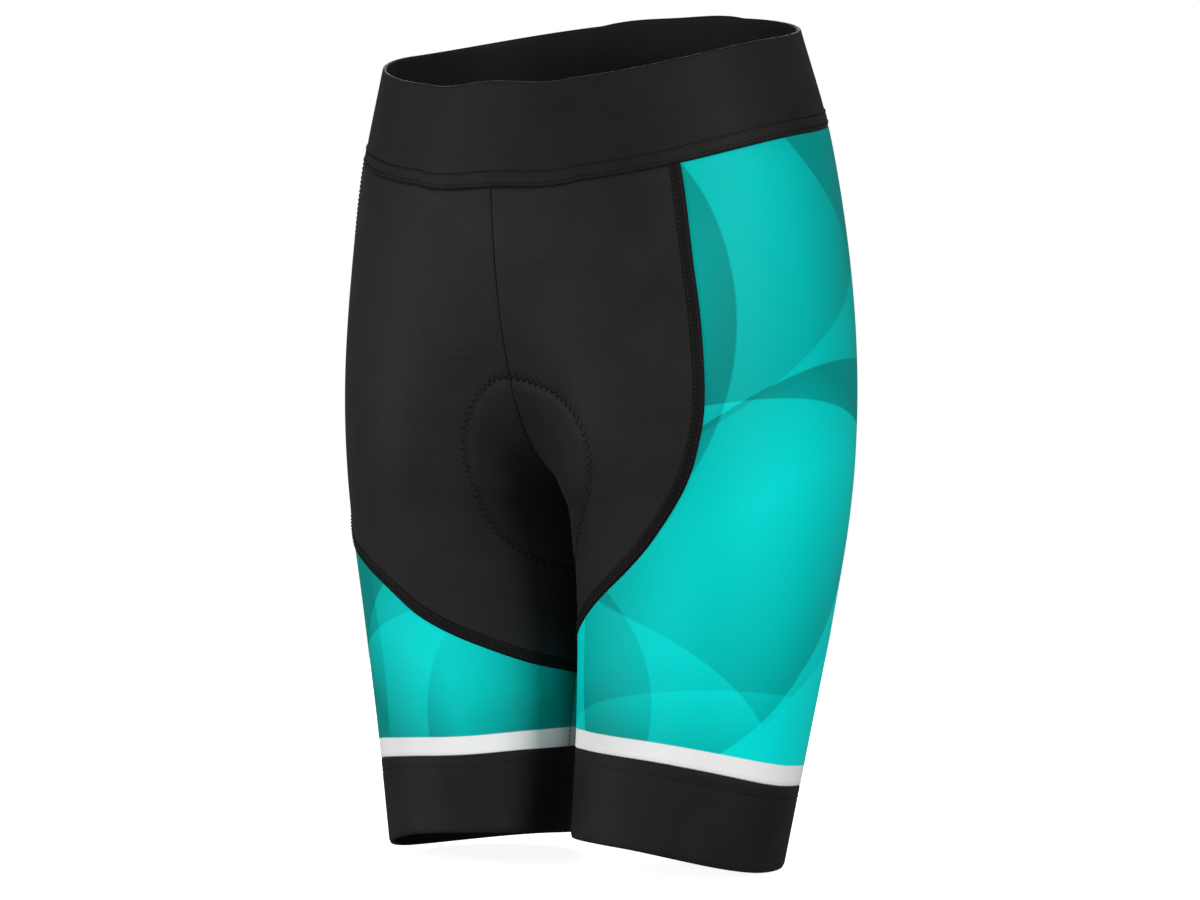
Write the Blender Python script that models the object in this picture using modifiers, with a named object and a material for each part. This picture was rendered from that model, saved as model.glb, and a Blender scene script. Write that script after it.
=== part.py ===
"""Cycling shorts, filled out with no wearer. Metres, +Z up, the front faces -Y and the wearer's left is +X."""

import bmesh
import bpy
import numpy as np

# Sizes of the garment
FRONT_TOP = (-0.1146, 0.022)  # y and z of the top edge at the centre front
BACK_TOP = (0.096, 0.074)  # y and z of the top edge at the centre back
CROTCH = (-0.001, -0.214)  # y and z where the rise seams meet the inseams
INSEAM_HEM = (0.009, -0.026, -0.411)  # the hem at the left leg's inseam
SIDE_TOP_Z = 0.049
SIDE_HEM_Z = -0.427

PANEL_WALL = 0.001  # one layer of knitted cloth
WAISTBAND_WALL = 0.0024  # cloth folded double
LEG_BAND_WALL = 0.0018
SEAM_GAP = 0.0004

# Levels run from 0 at the top edge to 1 at the hem
WAIST_SEAM_LEVEL = 0.116
CROTCH_LEVEL = 0.56
LEG_START_LEVEL = 0.28  # above this the front is one smooth curve across the middle

# Rise curves: length and lean of their handles at the top and at the crotch
FRONT_RISE = {"top_length": 0.225, "top_lean": -0.0055, "crotch_length": 0.044, "crotch_lift": 0.011}
BACK_RISE = {"top_length": 0.170, "top_lean": 0.0300, "crotch_length": 0.060, "crotch_lift": 0.015}

# One row for each level section of the left half: the side point, the front and back points above the middle
# of the thigh, their slopes in plan, and how far they lie above the mean height of their neighbours
SECTION_COLUMNS = (
    "level", "side_x", "side_y", "front_x", "front_y", "front_slope", "front_lift",
    "back_x", "back_y", "back_slope", "back_lift",
)
SECTIONS = (
    (0.00, 0.125, -0.007, 0.048, -0.106, 0.36, -0.013, 0.050, 0.088, 0.34, 0.009),
    (0.12, 0.142, -0.003, 0.055, -0.106, 0.33, -0.013, 0.055, 0.097, 0.28, 0.010),
    (0.26, 0.151, -0.002, 0.062, -0.105, 0.18, -0.010, 0.065, 0.105, 0.06, 0.008),
    (0.40, 0.156, -0.002, 0.068, -0.100, 0.04, -0.008, 0.070, 0.106, 0.00, 0.003),
    (0.55, 0.155, -0.005, 0.074, -0.089, 0.00, -0.006, 0.073, 0.099, 0.00, -0.002),
    (0.70, 0.146, -0.009, 0.077, -0.078, 0.00, -0.001, 0.074, 0.084, 0.00, -0.005),
    (0.85, 0.134, -0.013, 0.071, -0.077, 0.00, 0.005, 0.071, 0.069, 0.00, -0.006),
    (1.00, 0.122, -0.015, 0.061, -0.083, 0.00, 0.010, 0.062, 0.056, 0.00, -0.004),
)

# Seams between the black panels and the side panels, from the waist seam down to the inseam. across is measured
# from the centre front on the front seams and from the centre back on the back seam
SEAM_COLUMNS = ("level", "across")
FRONT_SEAM_LEFT = (
    (0.116, 1.375), (0.21, 1.385), (0.31, 1.40), (0.40, 1.39), (0.455, 1.35), (0.51, 1.28),
    (0.57, 1.16), (0.625, 0.98), (0.68, 0.71), (0.73, 0.40), (0.765, 0.0),
)
FRONT_SEAM_RIGHT = (
    (0.116, 1.70), (0.30, 1.75), (0.45, 1.79), (0.55, 1.77), (0.603, 1.64), (0.635, 1.37),
    (0.665, 1.17), (0.71, 0.94), (0.745, 0.68), (0.775, 0.36), (0.792, 0.0),
)
BACK_SEAM = (
    (0.116, 1.09), (0.30, 1.20), (0.45, 1.25), (0.54, 1.18), (0.61, 0.98), (0.67, 0.70),
    (0.72, 0.40), (0.78, 0.0),
)
SEAM_CORNER_LEVEL = 0.60  # where a panel's side edge turns into its lower edge

# Seams between the side panels and the leg bands, all round each leg
LEG_BAND_SEAMS = {
    "left": ((0.885, 0.0), (0.883, 0.9), (0.888, 1.57), (0.893, 1.86), (0.900, 2.3), (0.895, 3.0), (0.885, 4.0)),
    "right": ((0.888, 0.0), (0.891, 0.35), (0.897, 0.8), (0.897, 1.1), (0.893, 1.5), (0.889, 2.5), (0.888, 4.0)),
}
WAISTBAND_JOIN = 2.91  # place on the right half of the waistband's own join

# Cells of the panel grids
PANEL_ROWS_ABOVE_CROTCH = 12
PANEL_ROWS_BELOW_CROTCH = 5
PANEL_COLUMNS = 8
SIDE_COLUMNS = 12
LOWER_LEG_ROWS = 8
WAISTBAND_COLUMNS = 52
BAND_ROWS = 4
LEG_BAND_COLUMNS = 24

# Fine samples of the curves that the grids are spread along
RISE_SAMPLES = 101
SEAM_SAMPLES = 400
LINE_SAMPLES = 60
ROUNDING = 1e-6  # keeps a sample that lies on the end of a seam's stretch

SHARP_ANGLE = 0.7
SHARED_POINT = 0.00005

BLACK = (0.014, 0.014, 0.015, 1)
TEAL = (0.0, 0.56, 0.53, 1)

ROUNDNESS = 0.56  # handle length of a quarter curve, as a share of its radius
GROOVE_WIDTH = 0.010  # how fast the inner thighs part beside the crotch


def bezier(p0, p1, p2, p3, t):
    """The cubic curve from p0 to p3 at t."""
    s = 1 - t
    return s**3 * p0 + 3 * s**2 * t * p1 + 3 * s * t**2 * p2 + t**3 * p3


def hermite(p0, p1, slope0, slope1, t):
    """The cubic from p0 to p1 with the given slopes."""
    rise = t * t * (3 - 2 * t)
    return p0 + (p1 - p0) * rise + slope0 * t * (1 - t) ** 2 - slope1 * t * t * (1 - t)


def table_curve(xs, ys, x):
    """A smooth curve through the rows of a table."""
    xs = np.array(xs, float)
    ys = np.array(ys, float)
    x = np.clip(x, xs[0], xs[-1])
    step = np.diff(xs)
    slope = np.diff(ys) / step
    inner = (slope[:-1] * step[1:] + slope[1:] * step[:-1]) / (step[:-1] + step[1:])
    tangent = np.concatenate(([slope[0]], inner, [slope[-1]]))
    i = np.clip(np.searchsorted(xs, x, side="right") - 1, 0, len(xs) - 2)
    t = (x - xs[i]) / step[i]
    return hermite(ys[i], ys[i + 1], tangent[i] * step[i], tangent[i + 1] * step[i], t)


def column(table, names, name):
    return [row[names.index(name)] for row in table]


def section(name, level):
    """The value in one column of SECTIONS at each level."""
    levels = column(SECTIONS, SECTION_COLUMNS, "level")
    return table_curve(levels, column(SECTIONS, SECTION_COLUMNS, name), level)


def leg_band_level(side, across):
    """Level of the seam between a side panel and its leg band."""
    table = LEG_BAND_SEAMS[side]
    return table_curve(column(table, SEAM_COLUMNS, "across"), column(table, SEAM_COLUMNS, "level"), across)


def smoothstep(t):
    t = np.clip(t, 0, 1)
    return t * t * (3 - 2 * t)


def rise_curve(top, rise, side, share):
    """y and z on the front (side -1) or back (side 1) rise, at a share of its length."""
    top = np.array(top)
    crotch = np.array(CROTCH)
    below_top = top + (rise["top_lean"], -rise["top_length"])
    before_crotch = crotch + (side * rise["crotch_length"], rise["crotch_lift"])
    fine = np.linspace(0, 1, RISE_SAMPLES)
    points = bezier(top, below_top, before_crotch, crotch, fine[:, None])
    along = np.concatenate(([0], np.cumsum(np.linalg.norm(np.diff(points, axis=0), axis=1))))
    t = np.interp(share * along[-1], along, fine)
    return bezier(top, below_top, before_crotch, crotch, t[:, None]).T


def outer_surface(across, level):
    """Points of the left half's outer face. across is 0 at the centre front or inseam, 2 at the side and 4 at the back."""
    across, level = np.broadcast_arrays(np.asarray(across, float), np.asarray(level, float))
    shape = across.shape
    across = across.ravel()
    level = level.ravel()
    at = {name: section(name, level) for name in SECTION_COLUMNS[1:]}
    # The first and last points lie on the rise down to the crotch, and on the inseam below it
    share = np.clip(level / CROTCH_LEVEL, 0, 1)
    front_y, front_z = rise_curve(FRONT_TOP, FRONT_RISE, -1, share)
    back_y, back_z = rise_curve(BACK_TOP, BACK_RISE, 1, share)
    below = np.clip((level - CROTCH_LEVEL) / (1 - CROTCH_LEVEL), 0, 1)
    seam_x = INSEAM_HEM[0] * below**0.8
    seam_y = CROTCH[0] + (INSEAM_HEM[1] - CROTCH[0]) * below
    seam_z = CROTCH[1] + (INSEAM_HEM[2] - CROTCH[1]) * below
    in_leg = level > CROTCH_LEVEL
    y0 = np.where(in_leg, seam_y, front_y)
    z0 = np.where(in_leg, seam_z, front_z)
    y4 = np.where(in_leg, seam_y, back_y)
    z4 = np.where(in_leg, seam_z, back_z)
    # Handles turn from those of one oval round the trunk to those of a round leg
    leg = smoothstep((level - LEG_START_LEVEL) / (CROTCH_LEVEL - LEG_START_LEVEL))
    groove = 4 * leg * (1 - leg) * GROOVE_WIDTH
    trunk = (1 - leg) / 3
    front_in = trunk * at["front_x"] + leg * ROUNDNESS * (at["front_x"] - seam_x)
    back_in = trunk * at["back_x"] + leg * ROUNDNESS * (at["back_x"] - seam_x)
    front_out = ROUNDNESS * (at["side_x"] - at["front_x"])
    back_out = ROUNDNESS * (at["side_x"] - at["back_x"])

    def plan(x, y):
        return np.stack((x, y), 1)

    start = plan(seam_x, y0)
    front = plan(at["front_x"], at["front_y"])
    side = plan(at["side_x"], at["side_y"])
    back = plan(at["back_x"], at["back_y"])
    end = plan(seam_x, y4)
    front_depth = y0 - at["front_y"]
    back_depth = at["back_y"] - y4
    quarters = (
        (
            start,
            start + plan(trunk * at["front_x"] + groove, -leg * ROUNDNESS * front_depth),
            front - plan(front_in, at["front_slope"] * front_in),
            front,
        ),
        (
            front,
            front + plan(front_out, at["front_slope"] * front_out),
            side - plan(0 * level, ROUNDNESS * (at["side_y"] - at["front_y"])),
            side,
        ),
        (
            side,
            side + plan(0 * level, ROUNDNESS * (at["back_y"] - at["side_y"])),
            back + plan(back_out, -at["back_slope"] * back_out),
            back,
        ),
        (
            back,
            back - plan(back_in, -at["back_slope"] * back_in),
            end + plan(trunk * at["back_x"] + groove, leg * ROUNDNESS * back_depth),
            end,
        ),
    )
    side_z = SIDE_TOP_Z + (SIDE_HEM_Z - SIDE_TOP_Z) * level
    z1 = (z0 + side_z) / 2 + at["front_lift"]
    z3 = (z4 + side_z) / 2 + at["back_lift"]
    end_slope = leg * (z1 - z3) / 2
    heights = (z0, z1, side_z, z3, z4)
    slopes = (end_slope, (side_z - z0) / 2, (z3 - z1) / 2, (z4 - side_z) / 2, end_slope)
    points = np.zeros((len(level), 3))
    quarter = np.clip(across.astype(int), 0, 3)
    t = across - quarter
    for i in range(4):
        here = quarter == i
        corners = [corner[here] for corner in quarters[i]]
        points[here, :2] = bezier(*corners, t[here, None])
        points[here, 2] = hermite(
            heights[i][here], heights[i + 1][here], slopes[i][here], slopes[i + 1][here], t[here]
        )
    return points.reshape(*shape, 3)


def resample(places, cells):
    """Rows of (across, level) spread evenly by their distance on the surface."""
    points = outer_surface(places[:, 0], places[:, 1])
    along = np.concatenate(([0], np.cumsum(np.linalg.norm(np.diff(points, axis=0), axis=1))))
    wanted = np.linspace(0, along[-1], cells + 1)
    return np.stack([np.interp(wanted, along, places[:, i]) for i in (0, 1)], 1)


def seam_stretch(table, from_back, tip_level, start_level, end_level, cells):
    """Even samples of a panel seam between two levels."""
    levels = column(table, SEAM_COLUMNS, "level")[:-1] + [tip_level]
    across = column(table, SEAM_COLUMNS, "across")
    # The table is read by its row number, since the seam runs level near the inseam
    row = np.linspace(0, len(table) - 1, SEAM_SAMPLES)
    level = table_curve(range(len(table)), levels, row)
    place = table_curve(range(len(table)), across, row)
    keep = (level >= start_level - ROUNDING) & (level <= end_level + ROUNDING)
    start = np.interp(start_level, level, place)
    end = np.interp(end_level, level, place)
    inside = np.stack((place[keep], level[keep]), 1)
    places = np.vstack(((start, start_level), inside, (end, end_level)))
    if from_back:
        places[:, 0] = 4 - places[:, 0]
    return resample(places, cells)


def straight(start, end, cells):
    """Even samples of a line in (across, level)."""
    t = np.linspace(0, 1, LINE_SAMPLES)[:, None]
    return resample(np.array(start) * (1 - t) + np.array(end) * t, cells)


def coons(top, bottom, left, right):
    """A grid of places between four edges; top and bottom run left to right, left and right run downward."""
    s = np.linspace(0, 1, len(top))[None, :, None]
    t = np.linspace(0, 1, len(left))[:, None, None]
    ruled = (1 - t) * top[None] + t * bottom[None] + (1 - s) * left[:, None] + s * right[:, None]
    corners = (1 - s) * (1 - t) * top[0] + s * (1 - t) * top[-1] + (1 - s) * t * bottom[0] + s * t * bottom[-1]
    return ruled - corners


def normals(points):
    """Unit normals of a grid, facing away from the wearer on the left half."""
    down = np.gradient(points, axis=0)
    along = np.gradient(points, axis=1)
    normal = np.cross(along, down)
    return -normal / np.linalg.norm(normal, axis=2, keepdims=True)


TOP, BOTTOM, LEFT, RIGHT = (0, 0), (0, -1), (1, 0), (1, -1)


def opened(points, edges=(TOP, BOTTOM, LEFT, RIGHT)):
    """The grid with the given edges moved in by half of the seam gap, square to each edge."""
    normal = normals(points)
    moved = points.copy()
    for axis, index in edges:
        edge = (index, slice(None)) if axis == 0 else (slice(None), index)
        run = np.gradient(points, axis=1 - axis)[edge]
        square = np.cross(normal[edge], run)
        inward = np.gradient(points, axis=axis)[edge] * (1 if index == 0 else -1)
        square *= np.sign((square * inward).sum(1, keepdims=True))
        moved[edge] += square / np.linalg.norm(square, axis=1, keepdims=True) * SEAM_GAP / 2
    return moved


def on_surface(places):
    return outer_surface(places[..., 0], places[..., 1])


def cloth(name, side, grids, wall, material):
    """One cut piece: an open mesh of its outer face, made a wall toward the wearer by Solidify."""
    shape = bmesh.new()
    for points in grids:
        if side == "right":
            points = points[:, ::-1] * (-1, 1, 1)
        corners = [[shape.verts.new(point) for point in row] for row in points]
        for upper, lower in zip(corners, corners[1:]):
            for c in range(len(upper) - 1):
                shape.faces.new((upper[c], lower[c], lower[c + 1], upper[c + 1]))
    bmesh.ops.remove_doubles(shape, verts=shape.verts, dist=SHARED_POINT)
    mesh = bpy.data.meshes.new(name)
    shape.to_mesh(mesh)
    shape.free()
    mesh.materials.append(material)
    mesh.shade_smooth()
    mesh.set_sharp_from_angle(angle=SHARP_ANGLE)
    piece = bpy.data.objects.new(name, mesh)
    garment.objects.link(piece)
    thicken = piece.modifiers.new("cloth wall", "SOLIDIFY")
    thicken.thickness = wall
    thicken.offset = -1
    return piece


def finish_material(name, colour, roughness):
    material = bpy.data.materials.new(name)
    material.use_nodes = True
    shader = material.node_tree.nodes["Principled BSDF"]
    shader.inputs["Base Color"].default_value = colour
    shader.inputs["Roughness"].default_value = roughness
    shader.inputs["Metallic"].default_value = 0
    return material


def panel_places(table, from_back, tip_level):
    """The grid of a front or back panel, between the rise and inseam at one edge and its curved seam."""
    rows = PANEL_ROWS_ABOVE_CROTCH + PANEL_ROWS_BELOW_CROTCH
    middle = 4 if from_back else 0
    upper = seam_stretch(table, from_back, tip_level, WAIST_SEAM_LEVEL, SEAM_CORNER_LEVEL, rows)
    lower = seam_stretch(table, from_back, tip_level, SEAM_CORNER_LEVEL, tip_level, PANEL_COLUMNS)
    waist = straight((middle, WAIST_SEAM_LEVEL), upper[0], PANEL_COLUMNS)
    rise = straight((middle, WAIST_SEAM_LEVEL), (middle, CROTCH_LEVEL), PANEL_ROWS_ABOVE_CROTCH)
    inseam = straight((middle, CROTCH_LEVEL), (middle, tip_level), PANEL_ROWS_BELOW_CROTCH)
    inner = np.vstack((rise, inseam[1:]))
    if from_back:
        return coons(waist[::-1], lower, upper, inner), upper, lower
    return coons(waist, lower[::-1], inner, upper), upper, lower


def side_panel_grids(side, front_upper, front_lower, back_upper, back_lower):
    """The strip down the side, and the sleeve that it widens into round the lower leg."""
    share = np.linspace(0, 1, SIDE_COLUMNS + 1)[None, :, None]
    strip = (1 - share) * front_upper[:, None] + share * back_upper[:, None]
    strip_points = opened(on_surface(strip), (TOP, LEFT, RIGHT))
    top = np.vstack((front_lower[::-1], strip[-1][1:-1], back_lower))
    around = np.linspace(0, 4, len(top))
    bottom = np.stack((around, leg_band_level(side, around)), 1)
    share = np.linspace(0, 1, LOWER_LEG_ROWS + 1)[:, None, None]
    sleeve = on_surface((1 - share) * top[None] + share * bottom[None])
    sleeve_points = opened(sleeve)
    strip_end = slice(PANEL_COLUMNS, PANEL_COLUMNS + SIDE_COLUMNS + 1)
    sleeve_points[0, strip_end] = strip_points[-1]
    return strip_points, sleeve_points


def make_panels(side, front_table):
    """The front, back and side panels and the leg band of one side."""
    tip = front_table[-1][0]
    front, front_upper, front_lower = panel_places(front_table, False, tip)
    back, back_upper, back_lower = panel_places(BACK_SEAM, True, tip)
    cloth(f"front_panel_{side}", side, [opened(on_surface(front))], PANEL_WALL, black_knit)
    cloth(f"back_panel_{side}", side, [opened(on_surface(back))], PANEL_WALL, black_knit)
    side_grids = side_panel_grids(side, front_upper, front_lower, back_upper, back_lower)
    cloth(f"side_panel_{side}", side, side_grids, PANEL_WALL, teal_knit)
    around = np.linspace(0, 4, LEG_BAND_COLUMNS + 1)
    top = leg_band_level(side, around)
    share = np.linspace(0, 1, BAND_ROWS + 1)[:, None]
    band = np.stack(np.broadcast_arrays(around, (1 - share) * top + share), 2)
    cloth(f"leg_band_{side}", side, [opened(on_surface(band))], LEG_BAND_WALL, black_elastic)


def make_waistband():
    """One strip round the waist, joined once behind the right hip."""
    # Distances round the whole waist, 0 to 8 quarters: right half first, from the join to the centre front
    around = np.linspace(0, 8, WAISTBAND_COLUMNS + 1) + 4 - WAISTBAND_JOIN
    from_centre_back = around % 8
    on_left = from_centre_back > 4
    across = np.where(on_left, from_centre_back - 4, 4 - from_centre_back)
    levels = np.linspace(0, WAIST_SEAM_LEVEL, BAND_ROWS + 1)
    points = outer_surface(*np.meshgrid(across, levels))
    points[..., 0] *= np.where(on_left, 1, -1)
    cloth("waistband", "left", [opened(points)], WAISTBAND_WALL, black_elastic)


for leftover in list(bpy.data.objects):
    bpy.data.objects.remove(leftover)

garment = bpy.data.collections.new("cycling_shorts")
bpy.context.scene.collection.children.link(garment)

black_knit = finish_material("black knitted polyamide-elastane", BLACK, 0.72)
black_elastic = finish_material("black brushed elastic knit", BLACK, 0.8)
teal_knit = finish_material("teal printed polyamide-elastane", TEAL, 0.65)

make_waistband()
make_panels("left", FRONT_SEAM_LEFT)
make_panels("right", FRONT_SEAM_RIGHT)
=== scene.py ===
"""Looks of the cycling shorts: knitted panels, printed side panels, sewing, light and camera. Metres."""
import math

import bmesh
import bpy
import numpy as np
from mathutils import Matrix, Vector


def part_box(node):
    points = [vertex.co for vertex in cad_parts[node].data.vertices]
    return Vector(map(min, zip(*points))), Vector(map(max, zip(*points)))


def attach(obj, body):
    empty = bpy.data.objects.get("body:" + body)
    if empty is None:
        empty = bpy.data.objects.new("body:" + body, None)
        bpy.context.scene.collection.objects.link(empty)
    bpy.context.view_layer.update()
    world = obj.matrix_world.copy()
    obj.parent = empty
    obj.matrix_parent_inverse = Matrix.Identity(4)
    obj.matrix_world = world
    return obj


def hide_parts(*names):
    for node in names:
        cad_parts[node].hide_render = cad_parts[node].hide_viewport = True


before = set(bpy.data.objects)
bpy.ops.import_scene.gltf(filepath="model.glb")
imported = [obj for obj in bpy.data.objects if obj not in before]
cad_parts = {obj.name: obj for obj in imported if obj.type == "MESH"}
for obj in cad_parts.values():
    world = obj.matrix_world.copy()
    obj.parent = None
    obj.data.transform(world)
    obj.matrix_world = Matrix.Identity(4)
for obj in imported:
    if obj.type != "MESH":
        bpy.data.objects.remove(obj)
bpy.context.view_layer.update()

# Sizes of the garment
FRONT_TOP = (-0.1146, 0.022)  # y and z of the top edge at the centre front
BACK_TOP = (0.096, 0.074)  # y and z of the top edge at the centre back
CROTCH = (-0.001, -0.214)  # y and z where the rise seams meet the inseams
INSEAM_HEM = (0.009, -0.026, -0.411)  # the hem at the left leg's inseam
SIDE_TOP_Z = 0.049
SIDE_HEM_Z = -0.427

PANEL_WALL = 0.001  # one layer of knitted cloth
WAISTBAND_WALL = 0.0024  # cloth folded double
LEG_BAND_WALL = 0.0018
WAISTBAND_LAYER = 0.0011  # each layer of the folded waistband
FLATLOCK_WALL = 0.0004

# Levels run from 0 at the top edge to 1 at the hem
WAIST_SEAM_LEVEL = 0.116
CROTCH_LEVEL = 0.56
LEG_START_LEVEL = 0.28  # above this the front is one smooth curve across the middle

# Rise curves: length and lean of their handles at the top and at the crotch
FRONT_RISE = {"top_length": 0.225, "top_lean": -0.0055, "crotch_length": 0.044, "crotch_lift": 0.011}
BACK_RISE = {"top_length": 0.17, "top_lean": 0.03, "crotch_length": 0.06, "crotch_lift": 0.015}

# One row for each level section of the left half: the side point, the front and back points above the
# middle of the thigh, their slopes in plan, and how far they lie above the mean height of their neighbours
SECTION_COLUMNS = (
    "level", "side_x", "side_y", "front_x", "front_y", "front_slope", "front_lift",
    "back_x", "back_y", "back_slope", "back_lift",
)
SECTIONS = (
    (0.00, 0.125, -0.007, 0.048, -0.106, 0.36, -0.013, 0.050, 0.088, 0.34, 0.009),
    (0.12, 0.142, -0.003, 0.055, -0.106, 0.33, -0.013, 0.055, 0.097, 0.28, 0.010),
    (0.26, 0.151, -0.002, 0.062, -0.105, 0.18, -0.010, 0.065, 0.105, 0.06, 0.008),
    (0.40, 0.156, -0.002, 0.068, -0.100, 0.04, -0.008, 0.070, 0.106, 0.00, 0.003),
    (0.55, 0.155, -0.005, 0.074, -0.089, 0.00, -0.006, 0.073, 0.099, 0.00, -0.002),
    (0.70, 0.146, -0.009, 0.077, -0.078, 0.00, -0.001, 0.074, 0.084, 0.00, -0.005),
    (0.85, 0.134, -0.013, 0.071, -0.077, 0.00, 0.005, 0.071, 0.069, 0.00, -0.006),
    (1.00, 0.122, -0.015, 0.061, -0.083, 0.00, 0.010, 0.062, 0.056, 0.00, -0.004),
)

# Seams between the black panels and the side panels, from the waist seam down to the inseam. across is
# measured from the centre front on the front seams and from the centre back on the back seam
SEAM_COLUMNS = ("level", "across")
FRONT_SEAM_LEFT = (
    (0.116, 1.375), (0.21, 1.385), (0.31, 1.40), (0.40, 1.39), (0.455, 1.35), (0.51, 1.28),
    (0.57, 1.16), (0.625, 0.98), (0.68, 0.71), (0.73, 0.40), (0.765, 0.0),
)
FRONT_SEAM_RIGHT = (
    (0.116, 1.70), (0.30, 1.75), (0.45, 1.79), (0.55, 1.77), (0.603, 1.64), (0.635, 1.37),
    (0.665, 1.17), (0.71, 0.94), (0.745, 0.68), (0.775, 0.36), (0.792, 0.0),
)
BACK_SEAM = (
    (0.116, 1.09), (0.30, 1.20), (0.45, 1.25), (0.54, 1.18), (0.61, 0.98), (0.67, 0.70),
    (0.72, 0.40), (0.78, 0.0),
)
SEAM_CORNER_LEVEL = 0.60  # where a panel's side edge turns into its lower edge

# Seams between the side panels and the leg bands, all round each leg
LEG_BAND_SEAMS = {
    "left": (
        (0.885, 0.0), (0.883, 0.9), (0.888, 1.57), (0.893, 1.86), (0.900, 2.3), (0.895, 3.0), (0.885, 4.0),
    ),
    "right": (
        (0.888, 0.0), (0.891, 0.35), (0.897, 0.8), (0.897, 1.1), (0.893, 1.5), (0.889, 2.5), (0.888, 4.0),
    ),
}
WAISTBAND_JOIN = 2.91  # place on the right half of the waistband's own join

ROUNDNESS = 0.56  # handle length of a quarter curve, as a share of its radius
GROOVE_WIDTH = 0.010  # how fast the inner thighs part beside the crotch

# Fine samples of the curves that the grids are spread along
RISE_SAMPLES = 101
SEAM_SAMPLES = 400
LINE_SAMPLES = 60
ROUNDING = 1e-6  # keeps a sample that lies on the end of a seam's stretch

SIDES = ("left", "right")
ABOVE, BELOW, BEFORE, AFTER = (0, 0), (0, -1), (1, 0), (1, -1)  # edges of a grid: its axis and index
MIRROR = np.array((-1, 1, 1))
FORM_CELLS = 440
SHARED_POINT = 0.00005

# Metres of cloth in one quarter round and in one level, used for creases, prints and knit
QUARTER_LENGTH = 0.110
LEVEL_LENGTH = 0.470

# Fine grids of the dressed panels
CELL = 0.0026
HEM_CELL = 0.0009
ROLL_DEPTH = 0.00045
CROTCH_SOFTNESS = 0.022  # levels above and below the crotch that its form is eased over
CROTCH_REACH = 0.05
CROTCH_SHARE = 12 / 17  # where the crotch lies down the inner edge of a panel's grid

# Waistband: columns round the waist, and rows up inside, over the fold and down outside
WAISTBAND_COLUMNS = 300
INNER_ROWS = 18
FOLD_ROWS = 5
OUTER_ROWS = 34
TURNING_RISE = 0.0004
WAIST_ROLL = 1.6 * ROLL_DEPTH

# Leg bands: columns, rows, and the shares of the depth that roll at the top and the hem
LEG_BAND_COLUMNS = 160
LEG_BAND_ROWS = 24
LEG_BAND_DEPTH = 0.0517
TOP_ROLL_SHARE = 0.036
HEM_ROLL_SHARE = 0.041
HEM_ROLL = 0.0006

# Sewn rows: where they lie, how far the thread lies above the cloth, and how they pull it in
COVERSTITCH_ROWS = (0.098, 0.1105)  # levels
LEG_BAND_ROW = 0.145  # as a share of the band's depth
LEG_ROW_SAMPLES = 180
FLATLOCK_ROWS = (0.2, 0.8)  # as shares of the strip's width
FLATLOCK_LIFT = 0.0008
BAND_LIFT = 0.0004
PAD_LIFT = 0.0003
INSEAM_LIFT = -0.0002
INSEAM_ASIDE = 0.006  # across, just beside the inseam
PULL_DEPTH = 0.00022
PULL_WIDTH = 0.0016

# Threads: from stitch to stitch, length of a stitch, radius, and turn to each side in radians
STITCH_COLUMNS = ("Pitch", "Stitch length", "Thread radius", "Swing")
STITCHES = {
    "flatlock_stitches": (0.0027, 0.0021, 0.00032, 0.0),
    "waistband_stitches": (0.0022, 0.0022, 0.00034, 0.6),
    "leg_band_stitches": (0.0028, 0.0020, 0.00028, 0.0),
    "pad_outline_stitches": (0.0021, 0.0058, 0.00036, 1.1),
    "inseam_stitches": (0.0026, 0.0020, 0.00026, 0.0),
}

# Section of the flatlock strip: distance from the join and height over the cloth
FLATLOCK_WIDTH = 0.0062
FLATLOCK_PROFILE = (
    (-0.0007, 0.0), (-0.0004, 0.00045), (0.000992, 0.00062), (0.0031, 0.00055), (0.005208, 0.00062),
    (0.006014, 0.00045), (0.006386, -0.0001),
)

FINISH = ("Roughness", "Sheen Weight", "Sheen Roughness", "Specular IOR Level")

# Knit: spacing of the ribs and courses, height of a loop, and sizes of the clouds and specks of tone
PANEL_WALE = 0.0011
PANEL_COURSE = 0.0014
LOOP_HEIGHT = 0.0002
CLOUD_SIZE = 0.030
YARN_SIZE = 0.0009
PLY_SIZE = 1 / 1400
WAVE_PITCH = math.pi / 10  # spacing of a wave texture's bands at scale 1

STRIPE_WIDTH = 0.0118
STRIPE_EDGE = 0.0003  # half the softness of the ink's edge
ARC_EDGE = 0.001
PRINT_SHIFT = 0.013  # moves the print on the right side, so that the two sides differ

TEAL_DEEP = "#008d88"
TEAL_MIDDLE = "#00c2bb"
TEAL_BRIGHT = "#02e2dc"
STRIPE_WHITE = "#f2f2f2"
PAPER_WHITE = "#f4f4f4"
FLOOR_RADIUS = 1.6
FLOOR_DROP = 0.002
AMBIENT = 0.26
AMBIENT_LOW = 0.08
AMBIENT_REACH = (-0.6, 0.7)  # steepness, down and up, where the room is dimmest and brightest
LIGHT_REACH = 2.5
LIGHT_AIM = (0, 0, -0.15)

# The photograph's camera: azimuth and elevation in degrees, lens and sensor in millimetres
CAMERA_ANGLES = (31.598, 1.185)
CAMERA_LENS = 114.6
SENSOR_WIDTH = 36
CAMERA_DISTANCE = 2.2469
CAMERA_ASIDE = 0.0016
CAMERA_HEIGHT = -0.1877

# Soft panels: name, azimuth in degrees, height, width, tallness and watts
SOFT_LIGHTS = (
    ("right_key", 72, 0.5, 0.8, 1.1, 46),
    ("left_key", -50, 0.0, 0.6, 1.3, 29),
    ("low_fill", 2, -0.7, 1.0, 0.8, 16),
    ("back_panel", 212, 0.9, 1.2, 1.2, 26),
)

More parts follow.
